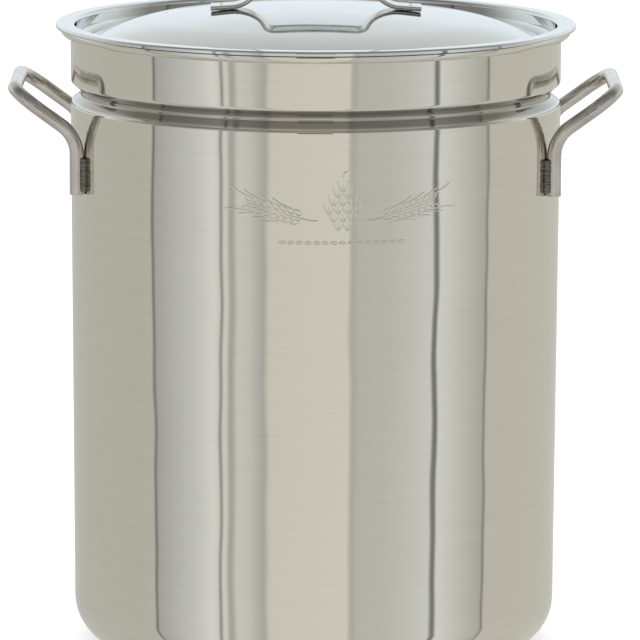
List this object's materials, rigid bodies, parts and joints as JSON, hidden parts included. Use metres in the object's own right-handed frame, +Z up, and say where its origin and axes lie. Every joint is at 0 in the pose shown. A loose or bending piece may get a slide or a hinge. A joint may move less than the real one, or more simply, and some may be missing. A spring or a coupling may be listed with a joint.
{
  "type": "brew kettle",
  "caption": "Tall lidded stainless brew kettle with two welded rod handles, an inward bead that carries a steamer tray, and a domed lift-off lid with a strap handle.",
  "frame": {"origin": "centre of the base, on the surface that the kettle stands on", "axes": "+Z up along the kettle's axis, +X through the right side handle, -Y the front"},
  "size_m": [0.4356, 0.3708, 0.4918],
  "materials": {
    "shell_steel": "bright, faint lines round the wall",
    "lid_steel": "bright, faint concentric lines",
    "rod_steel": "satin, drawn along the rod",
    "strap_steel": "satin, along the strap",
    "weld_steel": "rippled weld bead, cleaned"
  },
  "bodies": {
    "kettle": {"kettle_shell": "shell_steel", "left_handle": "rod_steel", "right_handle": "rod_steel", "left_front_weld": "weld_steel", "left_rear_weld": "weld_steel", "right_front_weld": "weld_steel", "right_rear_weld": "weld_steel"},
    "lid": {"lid_shell": "lid_steel", "lid_handle": "strap_steel", "lid_handle_left_welds": "weld_steel", "lid_handle_right_welds": "weld_steel"}
  },
  "joints": [
    {"name": "lid_lift", "type": "slide", "parent": "kettle", "child": "lid", "axis": [0, 0, 1], "range_m": [0, 0.25]}
  ]
}
